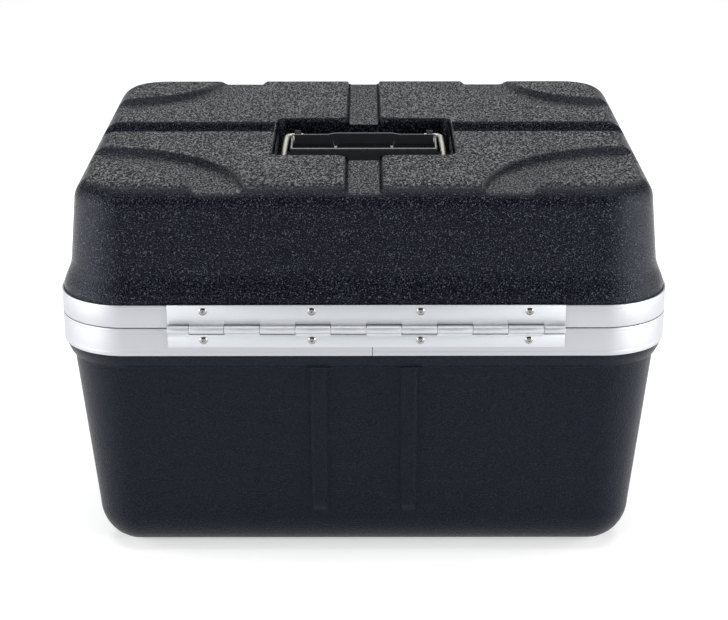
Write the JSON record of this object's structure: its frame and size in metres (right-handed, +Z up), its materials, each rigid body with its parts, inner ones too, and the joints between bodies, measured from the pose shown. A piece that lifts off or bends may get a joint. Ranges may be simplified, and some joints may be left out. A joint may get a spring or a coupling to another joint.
{
  "type": "hard-shell top case",
  "caption": "Deep hard-shell case with a hinged lid, aluminium closure frames, claw latches and a folding handle sunk in the lid.",
  "frame": {"origin": "centre of the underside", "axes": "+Z up; hinge side at -Y, latch side at +Y; +X to the right when looking at the hinge side"},
  "size_m": [0.525, 0.4577, 0.3416],
  "materials": {
    "abs_shell": "coarse haircell grain, black with a blue cast",
    "frame_aluminium": "satin anodised extrusion",
    "hinge_aluminium": "satin anodised",
    "seal_rubber": "matt black",
    "rivet_steel": "bright domed heads",
    "black_steel": "black finish",
    "plated_steel": "zinc plated",
    "handle_wire": "nickel plated wire",
    "grip_gloss_black": "gloss black"
  },
  "bodies": {
    "base": {"base_shell": "abs_shell", "base_frame": "frame_aluminium", "frame_gasket": "seal_rubber", "base_hinge_leaf": "hinge_aluminium", "hinge_pin": "plated_steel", "base_hinge_rivets": "rivet_steel", "latch_plate_left": "plated_steel", "latch_plate_right": "plated_steel", "latch_pin_left": "plated_steel", "latch_pin_right": "plated_steel", "latch_rivets": "rivet_steel"},
    "lid": {"lid_shell": "abs_shell", "lid_frame": "frame_aluminium", "lid_hinge_leaf": "hinge_aluminium", "lid_hinge_rivets": "rivet_steel", "keeper_left": "plated_steel", "keeper_right": "plated_steel", "keeper_rivets": "rivet_steel", "handle_bracket_left": "black_steel", "handle_bracket_right": "black_steel", "handle_bracket_rivets": "black_steel", "handle_backing_plate": "plated_steel"},
    "handle": {"handle_bail": "handle_wire", "handle_grip": "grip_gloss_black"},
    "latch_left": {"latch_claw_left": "plated_steel"},
    "latch_right": {"latch_claw_right": "plated_steel"}
  },
  "joints": [
    {"name": "lid_hinge", "type": "hinge", "parent": "base", "child": "lid", "pos_m": [0, -0.2223, 0.2221], "axis": [1, 0, 0], "range_deg": [0, 105]},
    {"name": "handle_swing", "type": "hinge", "parent": "lid", "child": "handle", "pos_m": [0, 0.011, 0.329], "axis": [-1, 0, 0], "range_deg": [0, 95]},
    {"name": "latch_left_swing", "type": "hinge", "parent": "base", "child": "latch_left", "pos_m": [-0.14, 0.2243, 0.2071], "axis": [1, 0, 0], "range_deg": [0, 170]},
    {"name": "latch_right_swing", "type": "hinge", "parent": "base", "child": "latch_right", "pos_m": [0.14, 0.2243, 0.2071], "axis": [1, 0, 0], "range_deg": [0, 170]}
  ]
}
